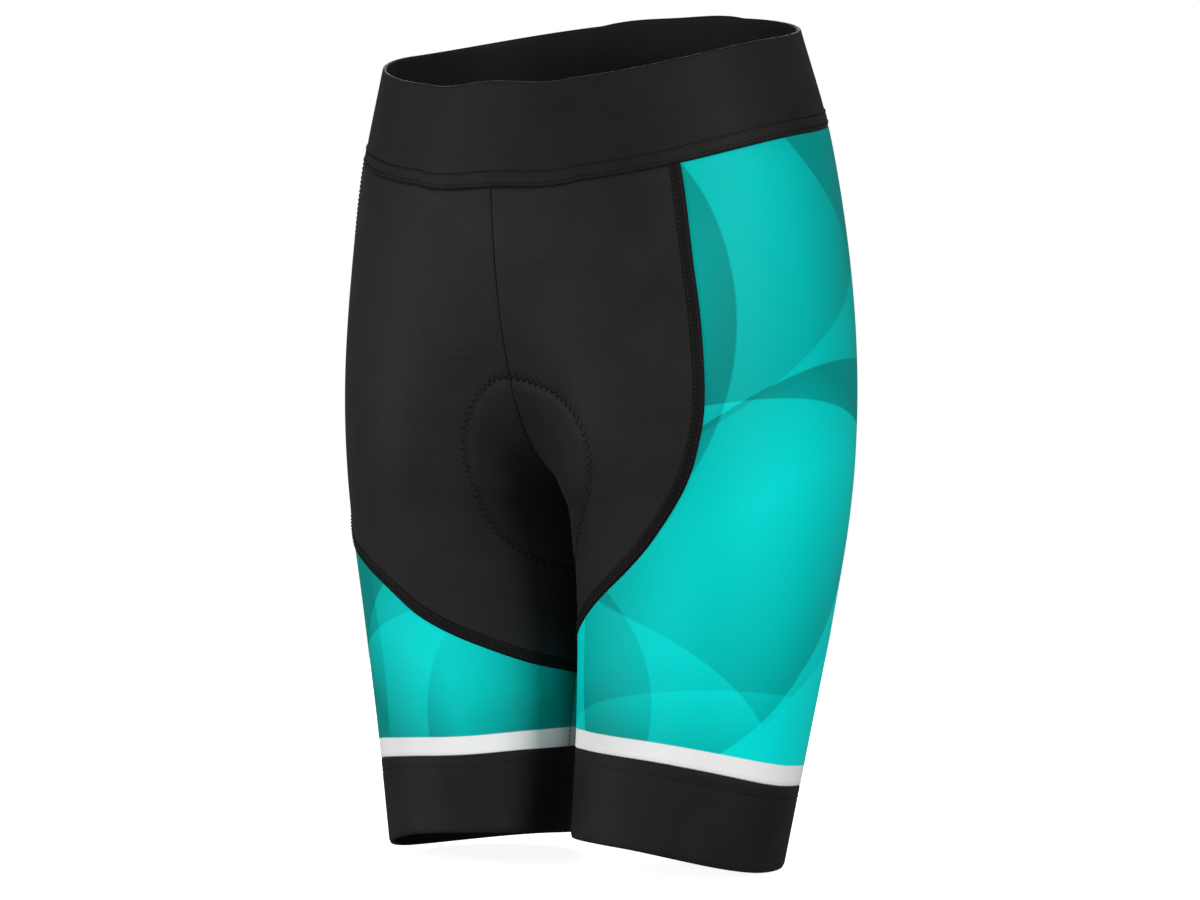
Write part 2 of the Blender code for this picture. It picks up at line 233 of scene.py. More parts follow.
# Soft creases of each side: three places on the cloth, half width and depth. A negative depth is a ridge
CREASE_SAMPLES = 13
CREASE_END = 0.02  # share of a crease where its fade stops at each end
CREASES = {
    "left": (
        ((0.62, 0.80), (0.55, 0.90), (0.50, 1.00), 0.0085, 0.0011),
        ((1.30, 0.93), (1.34, 0.97), (1.30, 1.00), 0.0080, -0.0008),
        ((1.75, 0.13), (1.80, 0.18), (1.78, 0.25), 0.0075, 0.0008),
        ((2.20, 0.12), (2.26, 0.19), (2.22, 0.30), 0.0090, 0.0009),
        ((2.75, 0.12), (2.72, 0.17), (2.66, 0.24), 0.0070, 0.0007),
        ((3.20, 0.49), (3.60, 0.535), (3.94, 0.555), 0.0080, 0.0019),
        ((3.05, 0.55), (3.50, 0.595), (3.90, 0.610), 0.0065, 0.0012),
        ((3.15, 0.83), (3.50, 0.845), (3.85, 0.835), 0.0070, 0.0009),
        ((2.60, 0.88), (2.90, 0.92), (3.10, 0.98), 0.0090, -0.0009),
    ),
    "right": (
        ((0.95, 0.81), (1.02, 0.90), (0.98, 1.00), 0.0090, 0.0008),
        ((1.85, 0.13), (1.90, 0.20), (1.84, 0.29), 0.0080, 0.0009),
        ((2.45, 0.12), (2.40, 0.17), (2.44, 0.25), 0.0075, 0.0008),
        ((3.05, 0.12), (3.00, 0.16), (2.97, 0.22), 0.0065, 0.0006),
        ((3.30, 0.50), (3.65, 0.540), (3.95, 0.552), 0.0075, 0.0017),
        ((3.10, 0.57), (3.45, 0.600), (3.85, 0.620), 0.0070, 0.0013),
        ((3.00, 0.81), (3.40, 0.835), (3.80, 0.825), 0.0065, 0.0008),
        ((2.10, 0.74), (2.45, 0.760), (2.85, 0.750), 0.0090, 0.0006),
    ),
}

# Zigzag outline of the seat pad: on each front from its centre, under the crotch, and on the backs
PAD_OUTLINES = {
    "left": (
        (0.0, 0.323), (0.20, 0.330), (0.49, 0.350), (0.685, 0.380), (0.795, 0.417), (0.815, 0.445),
        (0.79, 0.497), (0.73, 0.540), (0.56, 0.600), (0.30, 0.645), (0.0, 0.662),
    ),
    "right": (
        (0.0, 0.323), (0.12, 0.325), (0.335, 0.350), (0.435, 0.372), (0.545, 0.415), (0.60, 0.458),
        (0.61, 0.503), (0.615, 0.560), (0.565, 0.590), (0.39, 0.630), (0.0, 0.662),
    ),
    "back": (
        (4.0, 0.662), (3.72, 0.645), (3.42, 0.590), (3.22, 0.530), (3.12, 0.465), (3.20, 0.405),
        (3.48, 0.360), (4.0, 0.340),
    ),
}
PAD_SAMPLES = 56
PAD_RISE = 0.0009
PAD_SOFTNESS = 0.006
PAD_DIMPLE = 0.0003
PAD_DIMPLE_WIDTH = 0.003

# Soft arcs of the print, the two deepest of them painted shade: centre on the flat cloth, radius, width of
# the fade inward, and how much lighter
PRINT_AND_SHADE_ARCS = (
    ((0.13, -0.16), 0.385, 0.330, 0.46),
    ((0.44, -0.22), 0.350, 0.160, 0.40),
    ((0.52, 0.560), 0.370, 0.130, -0.30),
    ((0.02, 0.480), 0.300, 0.080, -0.20),
    ((0.20, -0.33), 0.380, 0.050, 0.24),
    ((0.00, 0.020), 0.120, 0.090, -0.30),
    ((-0.02, -0.22), 0.330, 0.080, 0.36),
    ((-0.42, 0.060), 0.265, 0.130, -0.25),
    ((-0.02, 0.280), 0.190, 0.070, -0.40),
    ((-0.36, 0.420), 0.230, 0.090, -0.30),
    ((-0.02, 0.260), 0.310, 0.085, -0.50),
    # Painted shade: this deep arc darkens the far leg's front and outer side and the near leg's back, where
    # the light falls off
    ((0.15, 0.100), 0.370, 0.110, -1.00),
    # Painted shade: this deep arc darkens the far leg's inner thigh beside its front inseam, where the near
    # leg shades it
    ((-0.30, 0.030), 0.300, 0.100, -1.10),
    ((0.25, 0.050), 0.190, 0.055, -0.45),
)


def bezier(p0, p1, p2, p3, t):
    """The cubic curve from p0 to p3 at t."""
    s = 1 - t
    return s**3 * p0 + 3 * s**2 * t * p1 + 3 * s * t**2 * p2 + t**3 * p3


def hermite(p0, p1, slope0, slope1, t):
    """The cubic from p0 to p1 with the given slopes."""
    rise = t * t * (3 - 2 * t)
    return p0 + (p1 - p0) * rise + slope0 * t * (1 - t) ** 2 - slope1 * t * t * (1 - t)


def table_curve(xs, ys, x):
    """A smooth curve through the rows of a table."""
    xs = np.array(xs, float)
    ys = np.array(ys, float)
    x = np.clip(x, xs[0], xs[-1])
    step = np.diff(xs)
    slope = np.diff(ys) / step
    inner = (slope[:-1] * step[1:] + slope[1:] * step[:-1]) / (step[:-1] + step[1:])
    tangent = np.concatenate(([slope[0]], inner, [slope[-1]]))
    i = np.clip(np.searchsorted(xs, x, side="right") - 1, 0, len(xs) - 2)
    t = (x - xs[i]) / step[i]
    return hermite(ys[i], ys[i + 1], tangent[i] * step[i], tangent[i + 1] * step[i], t)


def column(table, names, name):
    return [row[names.index(name)] for row in table]


def section(name, level):
    """The value in one column of SECTIONS at each level."""
    levels = column(SECTIONS, SECTION_COLUMNS, "level")
    return table_curve(levels, column(SECTIONS, SECTION_COLUMNS, name), level)


def leg_band_level(side, across):
    """Level of the seam between a side panel and its leg band."""
    table = LEG_BAND_SEAMS[side]
    return table_curve(column(table, SEAM_COLUMNS, "across"), column(table, SEAM_COLUMNS, "level"), across)


def smoothstep(t):
    t = np.clip(t, 0, 1)
    return t * t * (3 - 2 * t)


def distances(points):
    """Distance of each point of a path from its start."""
    return np.concatenate(([0], np.cumsum(np.linalg.norm(np.diff(points, axis=0), axis=1))))


def rise_curve(top, rise, side, share):
    """y and z on the front (side -1) or back (side 1) rise, at a share of its length."""
    top = np.array(top)
    crotch = np.array(CROTCH)
    below_top = top + (rise["top_lean"], -rise["top_length"])
    before_crotch = crotch + (side * rise["crotch_length"], rise["crotch_lift"])
    fine = np.linspace(0, 1, RISE_SAMPLES)
    points = bezier(top, below_top, before_crotch, crotch, fine[:, None])
    along = distances(points)
    t = np.interp(share * along[-1], along, fine)
    return bezier(top, below_top, before_crotch, crotch, t[:, None]).T


def outer_surface(across, level):
    """Points of the left half's outer face. across is 0 at the centre front, 2 at the side, 4 at the back."""
    across, level = np.broadcast_arrays(np.asarray(across, float), np.asarray(level, float))
    shape = across.shape
    across = across.ravel()
    level = level.ravel()
    at = {name: section(name, level) for name in SECTION_COLUMNS[1:]}
    # The first and last points lie on the rise down to the crotch, and on the inseam below it
    share = np.clip(level / CROTCH_LEVEL, 0, 1)
    front_y, front_z = rise_curve(FRONT_TOP, FRONT_RISE, -1, share)
    back_y, back_z = rise_curve(BACK_TOP, BACK_RISE, 1, share)
    below = np.clip((level - CROTCH_LEVEL) / (1 - CROTCH_LEVEL), 0, 1)
    seam_x = INSEAM_HEM[0] * below**0.8
    seam_y = CROTCH[0] + (INSEAM_HEM[1] - CROTCH[0]) * below
    seam_z = CROTCH[1] + (INSEAM_HEM[2] - CROTCH[1]) * below
    in_leg = level > CROTCH_LEVEL
    y0, y4 = (np.where(in_leg, seam_y, y) for y in (front_y, back_y))
    z0, z4 = (np.where(in_leg, seam_z, z) for z in (front_z, back_z))
    # Handles turn from those of one oval round the trunk to those of a round leg
    leg = smoothstep((level - LEG_START_LEVEL) / (CROTCH_LEVEL - LEG_START_LEVEL))
    groove = 4 * leg * (1 - leg) * GROOVE_WIDTH
    trunk = (1 - leg) / 3
    front_in = trunk * at["front_x"] + leg * ROUNDNESS * (at["front_x"] - seam_x)
    back_in = trunk * at["back_x"] + leg * ROUNDNESS * (at["back_x"] - seam_x)
    front_out = ROUNDNESS * (at["side_x"] - at["front_x"])
    back_out = ROUNDNESS * (at["side_x"] - at["back_x"])

    def plan(x, y):
        return np.stack((x, y), 1)

    start = plan(seam_x, y0)
    front, side, back = (plan(at[part + "_x"], at[part + "_y"]) for part in ("front", "side", "back"))
    end = plan(seam_x, y4)
    front_depth = y0 - at["front_y"]
    back_depth = at["back_y"] - y4
    handles = (
        (start + plan(trunk * at["front_x"] + groove, -leg * ROUNDNESS * front_depth),
         front - plan(front_in, at["front_slope"] * front_in)),
        (front + plan(front_out, at["front_slope"] * front_out),
         side - plan(0 * level, ROUNDNESS * (at["side_y"] - at["front_y"]))),
        (side + plan(0 * level, ROUNDNESS * (at["back_y"] - at["side_y"])),
         back + plan(back_out, -at["back_slope"] * back_out)),
        (back - plan(back_in, -at["back_slope"] * back_in),
         end + plan(trunk * at["back_x"] + groove, leg * ROUNDNESS * back_depth)),
    )
    ends = (start, front, side, back, end)
    side_z = SIDE_TOP_Z + (SIDE_HEM_Z - SIDE_TOP_Z) * level
    z1 = (z0 + side_z) / 2 + at["front_lift"]
    z3 = (z4 + side_z) / 2 + at["back_lift"]
    end_slope = leg * (z1 - z3) / 2
    heights = (z0, z1, side_z, z3, z4)
    slopes = (end_slope, (side_z - z0) / 2, (z3 - z1) / 2, (z4 - side_z) / 2, end_slope)
    points = np.zeros((len(level), 3))
    quarter = np.clip(across.astype(int), 0, 3)
    t = across - quarter
    for i in range(4):
        here = quarter == i
        corners = [corner[here] for corner in (ends[i], *handles[i], ends[i + 1])]
        points[here, :2] = bezier(*corners, t[here, None])
        points[here, 2] = hermite(
            heights[i][here], heights[i + 1][here], slopes[i][here], slopes[i + 1][here], t[here]
        )
    return points.reshape(*shape, 3)


def resample(places, shares):
    """Rows of (across, level) at shares of their distance on the surface."""
    points = outer_surface(places[:, 0], places[:, 1])
    along = distances(points)
    wanted = np.asarray(shares) * along[-1]
    return np.stack([np.interp(wanted, along, places[:, i]) for i in (0, 1)], 1)


def seam_stretch(table, from_back, tip_level, start_level, end_level, shares):
    """Samples of a panel seam between two levels."""
    levels = column(table, SEAM_COLUMNS, "level")[:-1] + [tip_level]
    across = column(table, SEAM_COLUMNS, "across")
    # The table is read by its row number, since the seam runs level near the inseam
    row = np.linspace(0, len(table) - 1, SEAM_SAMPLES)
    level = table_curve(range(len(table)), levels, row)
    place = table_curve(range(len(table)), across, row)
    keep = (level >= start_level - ROUNDING) & (level <= end_level + ROUNDING)
    start = np.interp(start_level, level, place)
    end = np.interp(end_level, level, place)
    inside = np.stack((place[keep], level[keep]), 1)
    places = np.vstack(((start, start_level), inside, (end, end_level)))
    if from_back:
        places[:, 0] = 4 - places[:, 0]
    return resample(places, shares)


def straight(start, end, shares):
    """Samples of a line in (across, level)."""
    t = np.linspace(0, 1, LINE_SAMPLES)[:, None]
    return resample(np.array(start) * (1 - t) + np.array(end) * t, shares)


def coons(top, bottom, left, right, across_shares, down_shares):
    """A grid of places between four edges. Top and bottom run left to right, left and right run down."""
    s = across_shares[None, :, None]
    t = down_shares[:, None, None]
    ruled = (1 - t) * top[None] + t * bottom[None] + (1 - s) * left[:, None] + s * right[:, None]
    corners = (1 - t) * ((1 - s) * top[0] + s * top[-1]) + t * ((1 - s) * bottom[0] + s * bottom[-1])
    return ruled - corners


def on_surface(places):
    """The worn form's outer face, eased where the rise turns into the inseam."""
    across, level = places[..., 0], places[..., 1]
    spread = CROTCH_SOFTNESS * np.exp(-(((level - CROTCH_LEVEL) / CROTCH_REACH) ** 2))
    around = (outer_surface(across, level - spread) + outer_surface(across, level + spread)) / 2
    return (outer_surface(across, level) + around) / 2


def panel_places(table, from_back, tip_level):
    """The grid of a front or back panel, between the rise and inseam at one edge and its curved seam."""
    middle = 4 if from_back else 0
    upper = seam_stretch(table, from_back, tip_level, WAIST_SEAM_LEVEL, SEAM_CORNER_LEVEL, DOWN_SHARES)
    lower = seam_stretch(table, from_back, tip_level, SEAM_CORNER_LEVEL, tip_level, ACROSS_SHARES)
    waist = straight((middle, WAIST_SEAM_LEVEL), upper[0], ACROSS_SHARES)
    above = DOWN_SHARES[DOWN_SHARES <= CROTCH_SHARE] / CROTCH_SHARE
    below = (DOWN_SHARES[DOWN_SHARES > CROTCH_SHARE] - CROTCH_SHARE) / (1 - CROTCH_SHARE)
    rise = straight((middle, WAIST_SEAM_LEVEL), (middle, CROTCH_LEVEL), above)
    inseam = straight((middle, CROTCH_LEVEL), (middle, tip_level), below)
    inner = np.vstack((rise, inseam))
    if from_back:
        return coons(waist[::-1], lower, upper, inner, ACROSS_SHARES, DOWN_SHARES), upper, lower
    return coons(waist, lower[::-1], inner, upper, ACROSS_SHARES, DOWN_SHARES), upper, lower


def form_steps(points):
    """Changes of a table of points along across and along level."""
    return np.gradient(points, 4 / FORM_CELLS, axis=1), np.gradient(points, 1 / FORM_CELLS, axis=0)


def read_form(table, places):
    """Values of a table over one half of the garment, between its points."""
    level = np.clip(places[..., 1], 0, 1) * FORM_CELLS
    across = np.clip(places[..., 0], 0, 4) / 4 * FORM_CELLS
    r = np.minimum(level.astype(int), FORM_CELLS - 1)
    c = np.minimum(across.astype(int), FORM_CELLS - 1)
    u, v = (across - c)[..., None], (level - r)[..., None]
    above = (1 - u) * table[r, c] + u * table[r, c + 1]
    return (1 - v) * above + v * ((1 - u) * table[r + 1, c] + u * table[r + 1, c + 1])


def plain_form():
    """The left half's outer face as a table of points, with its steps and its unit normals."""
    across, level = np.meshgrid(np.linspace(0, 4, FORM_CELLS + 1), np.linspace(0, 1, FORM_CELLS + 1))
    places = np.stack((across, level), 2)
    points = on_surface(places)
    along, down = form_steps(points)
    normal = np.cross(down, along)
    return places, points, along, down, normal / np.linalg.norm(normal, axis=2, keepdims=True)


def in_metres(places):
    return np.asarray(places, float) * (QUARTER_LENGTH, LEVEL_LENGTH)


def distance_to(path, places):
    """Distance of each place from a path, and the path's share at its nearest point, on the flat cloth."""
    path = in_metres(path)
    spots = in_metres(places).reshape(-1, 2)
    best = np.full(len(spots), 1.0)
    share = np.zeros(len(spots))
    for i, (start, end) in enumerate(zip(path, path[1:])):
        run = end - start
        t = np.clip((spots - start) @ run / (run @ run), 0, 1)
        away = np.linalg.norm(spots - start - t[:, None] * run, axis=1)
        nearer = away < best
        best[nearer] = away[nearer]
        share[nearer] = (i + t[nearer]) / (len(path) - 1)
    return best.reshape(places.shape[:-1]), share.reshape(places.shape[:-1])


def inside(loop, places):
    """True for each place within a closed loop."""
    found = np.zeros(places.shape[:-1], bool)
    x, y = places[..., 0], places[..., 1]
    for (x0, y0), (x1, y1) in zip(loop, loop[1:] + loop[:1]):
        crosses = (y0 > y) != (y1 > y)
        with np.errstate(divide="ignore", invalid="ignore"):
            found ^= crosses & (x < (x1 - x0) * (y - y0) / (y1 - y0) + x0)
    return found


def bowed(start, middle, end):
    """A curve through three places."""
    t = np.linspace(0, 1, CREASE_SAMPLES)[:, None]
    turn = 2 * np.array(middle) - (np.array(start) + end) / 2
    return (1 - t) ** 2 * np.array(start) + 2 * t * (1 - t) * turn + t**2 * np.array(end)


def smooth_path(corners):
    """A smooth curve through a table of places."""
    corners = np.array(corners)
    along = distances(in_metres(corners))
    wanted = np.linspace(0, along[-1], PAD_SAMPLES)
    return np.stack([table_curve(along, corners[:, i], wanted) for i in (0, 1)], 1)


def pad_paths(side):
    return [smooth_path(PAD_OUTLINES[half]) for half in (side, "back")]


def relief(places, side):
    """How far the worn cloth stands off the plain form: creases, and the pad that shows through."""
    lift = np.zeros(places.shape[:-1])
    for start, middle, end, half_width, depth in CREASES[side]:
        away, share = distance_to(bowed(start, middle, end), places)
        fade = np.sin(np.pi * np.clip(share, CREASE_END, 1 - CREASE_END)) ** 0.6
        lift -= depth * fade * np.exp(-((away / half_width) ** 2))
    for path in pad_paths(side):
        away, _ = distance_to(path, places)
        middle = path[0][0]
        low, high = sorted((path[0][1], path[-1][1]))
        on_middle = (places[..., 0] == middle) & (places[..., 1] > low) & (places[..., 1] < high)
        within = inside([*map(tuple, path), (middle, path[-1][1])], places) | on_middle
        lift += PAD_RISE * np.where(within, smoothstep(away / PAD_SOFTNESS), 0)
        lift -= PAD_DIMPLE * np.exp(-((away / PAD_DIMPLE_WIDTH) ** 2))
    return lift


def worn(places, side, lift=0.0):
    """Points and normals of the worn cloth's outer face, lift metres above it."""
    normal = read_form(form_normals, places)
    raised = read_form(reliefs[side], places)[..., 0] + lift
    points = read_form(form_points, places) + normal * raised[..., None]
    # The two halves meet on the middle plane down to the crotch
    middle = ((places[..., 0] <= 0) | (places[..., 0] >= 4)) & (places[..., 1] <= CROTCH_LEVEL)
    points[middle, 0] = 0
    if side == "right":
        return points * MIRROR, normal * MIRROR
    return points, normal


def edge_shares(length, cell=CELL):
    """Shares along a cloth edge, with one narrow cell at each end for its rolled edge."""
    cells = max(6, round(length / cell))
    narrow = HEM_CELL / length
    return np.concatenate(([0], np.linspace(narrow, 1 - narrow, cells - 1), [1]))


def rolled(shape, edges):
    """How far each point of a grid drops at the given edges, where the cloth rolls into its seam."""
    drop = np.zeros(shape)
    for axis, index in edges:
        edge = (index, slice(None)) if axis == 0 else (slice(None), index)
        drop[edge] = -ROLL_DEPTH
    return drop


def placed(name, data):
    """A new object in the scene."""
    made = bpy.data.objects.new(name, data)
    bpy.context.scene.collection.objects.link(made)
    return made


def sewn_mesh(name, grids, material, uv_grids, wall):
    """A thin shell from grids that share their joining rows, with its knit's UV map in metres."""
    shape = bmesh.new()
    flat = shape.loops.layers.uv.new("cloth")
    for points, uv in zip(grids, uv_grids):
        corners = [[shape.verts.new(point) for point in row] for row in points]
        for r in range(len(corners) - 1):
            for c in range(len(corners[0]) - 1):
                order = ((r, c), (r + 1, c), (r + 1, c + 1), (r, c + 1))
                face = shape.faces.new([corners[i][j] for i, j in order])
                for loop, (i, j) in zip(face.loops, order):
                    loop[flat].uv = uv[i, j]
    bmesh.ops.remove_doubles(shape, verts=shape.verts, dist=SHARED_POINT)
    mesh = bpy.data.meshes.new(name)
    shape.to_mesh(mesh)
    shape.free()
    mesh.materials.append(material)
    mesh.shade_smooth()
    piece = placed(name, mesh)
    thicken = piece.modifiers.new("cloth wall", "SOLIDIFY")
    thicken.thickness = wall
    thicken.offset = -1
    return piece


def cloth_uv(places, side):
    """Places on the flat cloth in metres; v is 0 at the leg band's seam."""
    high = leg_band_level(side, places[..., 0].ravel()).reshape(places.shape[:-1]) - places[..., 1]
    flat = np.stack((places[..., 0], high), -1) * (QUARTER_LENGTH, LEVEL_LENGTH)
    if side == "right":
        flat[..., 0] = -flat[..., 0] - PRINT_SHIFT
    return flat


def worn_panel(part, side, laid, material):
    """A worn panel from grids of (places, lift)."""
    grids, maps = [], []
    for places, lift in laid:
        points, _ = worn(places, side, lift)
        uv = cloth_uv(places, side)
        if side == "right":
            points, uv = points[:, ::-1], uv[:, ::-1]
        grids.append(points)
        maps.append(uv)
    return sewn_mesh(f"{part}_panel_cloth_{side}", grids, material, maps, PANEL_WALL)


def laid_panel(places, edges=(ABOVE, BELOW, BEFORE, AFTER)):
    """A grid of places with how far its sewn edges drop; neighbours meet in the seam, on their allowances."""
    return places, rolled(places.shape[:2], edges)


def make_panels(side, front_table):
    """The front, back and side panels of one side, and the paths of its front and back seams."""
    tip = front_table[-1][0]
    front, front_upper, front_lower = panel_places(front_table, False, tip)
    back, back_upper, back_lower = panel_places(BACK_SEAM, True, tip)
    cloths[f"front_panel_{side}"] = worn_panel("front", side, [laid_panel(front)], black_knit)
    cloths[f"back_panel_{side}"] = worn_panel("back", side, [laid_panel(back)], black_knit)
    share = SIDE_SHARES[None, :, None]
    strip = (1 - share) * front_upper[:, None] + share * back_upper[:, None]
    top = np.vstack((front_lower[::-1], strip[-1][1:-1], back_lower))
    around = np.linspace(0, 4, len(top))
    bottom = np.stack((around, leg_band_level(side, around)), 1)
    share = SLEEVE_SHARES[:, None, None]
    sleeve = (1 - share) * top[None] + share * bottom[None]
    strip_laid = laid_panel(strip, (ABOVE, BEFORE, AFTER))
    sleeve_laid = laid_panel(sleeve)
    joined = slice(len(front_lower) - 1, len(front_lower) + strip.shape[1] - 1)
    sleeve_laid[0][0, joined] = strip_laid[0][-1]
    sleeve_laid[1][0, joined] = strip_laid[1][-1]
    cloths[f"side_panel_{side}"] = worn_panel("side", side, [strip_laid, sleeve_laid], teal_knit)
    return np.vstack((front_upper, front_lower[1:])), np.vstack((back_upper, back_lower[1:]))


def banded(name, rounds, tops, profile, wall):
    """An elastic band round an opening, from places (across, side), levels of its top and a profile.

    The profile's share runs from 0 at those tops to 1 at the hem. Its rise is measured up along the cloth,
    and its drop into the garment."""
    across = np.array([a for a, _ in rounds])
    sign = np.array([-1 if side == "right" else 1 for _, side in rounds])
    points = np.zeros((len(profile), len(rounds), 3))
    uv = np.zeros((len(profile), len(rounds), 2))
    travelled = 0.0
    for i, (share, rise, drop) in enumerate(profile):
        places = np.stack((across, (1 - share) * tops + share), 1)
        normal = read_form(form_normals, places)
        down = read_form(form_down, places)
        up = -down / np.linalg.norm(down, axis=1, keepdims=True)
        lift = np.where(sign > 0, *(read_form(reliefs[half], places)[:, 0] for half in SIDES))
        lift[[0, -1]] -= ROLL_DEPTH * (drop < wall)
        points[i] = read_form(form_points, places) + normal * (lift - drop)[:, None] + up * rise
        points[i, :, 0] *= sign
        if i:
            travelled += np.linalg.norm(points[i] - points[i - 1], axis=1).mean()
        uv[i] = np.stack((np.arange(len(rounds)) * CELL, np.full(len(rounds), -travelled)), 1)
    return sewn_mesh(name, [points], black_elastic, [uv], wall)


def waist_rounds():
    """Places round the whole waist as (across, side), from the waistband's join back to it."""
    around = (np.linspace(0, 8, WAISTBAND_COLUMNS + 1) + 4 - WAISTBAND_JOIN) % 8
    return [(a - 4, "left") if a > 4 else (4 - a, "right") for a in around]


def leg_rounds(side):
    around = np.linspace(0, 4, LEG_BAND_COLUMNS + 1)
    return [(a, side) for a in (around if side == "left" else around[::-1])]


def seam_line_drop(share, rows, length):
    """How deep the sewn rows pull in a cloth of the given length."""
    return sum(PULL_DEPTH * math.exp(-(((share - row) * length / PULL_WIDTH) ** 2)) for row in rows)


def waistband_profile():
    """Rows of (level, rise, drop): up the inner layer, over the fold and down outside to the seam."""
    radius = WAISTBAND_WALL / 2
    fold_level = radius / LEVEL_LENGTH
    low = WAIST_SEAM_LEVEL
    profile = [(level, 0, WAISTBAND_WALL) for level in np.linspace(low, fold_level, INNER_ROWS)]
    for angle in np.linspace(180, 0, FOLD_ROWS + 2)[1:-1]:
        turn = math.radians(angle)
        profile.append((fold_level, radius * math.sin(turn), radius * (1 - math.cos(turn))))
    for level in np.linspace(fold_level, low, OUTER_ROWS):
        # The turned-in cloth under the coverstitch stands a little proud, then rolls into the waist seam
        raised = TURNING_RISE * smoothstep((level - COVERSTITCH_ROWS[0] + 0.004) / 0.006)
        rolled_in = WAIST_ROLL * smoothstep((level - low + 0.0035) / 0.0035)
        sewn_in = seam_line_drop(level, COVERSTITCH_ROWS, LEVEL_LENGTH)
        profile.append((level, 0, sewn_in - float(raised) + float(rolled_in)))
    return profile


def leg_band_profile():
    """Rows of (share, rise, drop), rolled into the seam at the top and softly turned at the hem."""
    profile = []
    for share in (0, 0.018, *np.linspace(0.045, 0.964, LEG_BAND_ROWS), 0.986, 1.0):
        top = ROLL_DEPTH * (1 - smoothstep(share / TOP_ROLL_SHARE))
        hem = HEM_ROLL * smoothstep((share - 1 + HEM_ROLL_SHARE) / HEM_ROLL_SHARE)
        sewn_in = seam_line_drop(share, (LEG_BAND_ROW,), LEG_BAND_DEPTH)
        profile.append((share, 0, sewn_in + float(top + hem)))
    return profile


def shifted(path, toward, distance):
    """A path moved sideways on the cloth by a distance, toward a higher (1) or lower (-1) across."""
    along, down = read_form(form_along, path), read_form(form_down, path)
    run = np.gradient(path, axis=0)
    travel = along * run[:, :1] + down * run[:, 1:]
    sideways = np.cross(read_form(form_normals, path), travel)
    sideways /= np.linalg.norm(sideways, axis=1, keepdims=True)
    moved = np.zeros_like(path)
    for i, (a, d, s) in enumerate(zip(along, down, sideways)):
        moved[i] = np.linalg.lstsq(np.stack((a, d), 1), s, rcond=None)[0]
    moved *= np.sign(moved[0, 0]) * toward
    out = path + moved * distance
    out[:, 0] = np.clip(out[:, 0], 0, 4)
    return out


def flatlock_strip(name, side, seam, toward):
    """The raised flat seam that covers the join, on the black panel's side."""
    paths = [shifted(seam, toward, distance) for distance, _ in FLATLOCK_PROFILE]
    grid = np.stack([worn(path, side, height)[0] for path, (_, height) in zip(paths, FLATLOCK_PROFILE)])
    uv = np.stack([cloth_uv(path, side) for path in paths])
    # One spot on the strip tells whether its faces turn outward
    down = np.gradient(grid, axis=1)[3, 5]
    across = grid[4, 5] - grid[2, 5]
    _, normal = worn(seam[5:6], side)
    if np.dot(np.cross(across, down), normal[0]) < 0:
        grid, uv = grid[::-1], uv[::-1]
    return sewn_mesh(name, [grid], seam_knit, [uv], FLATLOCK_WALL)


def add_node(tree, kind, inputs=None, **settings):
    """One node, with values or links for its inputs."""
    made = tree.nodes.new(kind)
    for key, value in settings.items():
        setattr(made, key, value)
    for key, value in (inputs or {}).items():
        if isinstance(value, bpy.types.NodeSocket):
            tree.links.new(value, made.inputs[key])
        else:
            made.inputs[key].default_value = value
    return made


def calc(tree, operation, *values):
    """The result of a math node."""
    return add_node(tree, "ShaderNodeMath", dict(enumerate(values)), operation=operation).outputs[0]


def ranged(tree, value, low, high, to_low=0.0, to_high=1.0):
    """A value carried from one range to another and kept within it."""
    limits = {"Value": value, "From Min": low, "From Max": high, "To Min": to_low, "To Max": to_high}
    return add_node(tree, "ShaderNodeMapRange", limits).outputs[0]


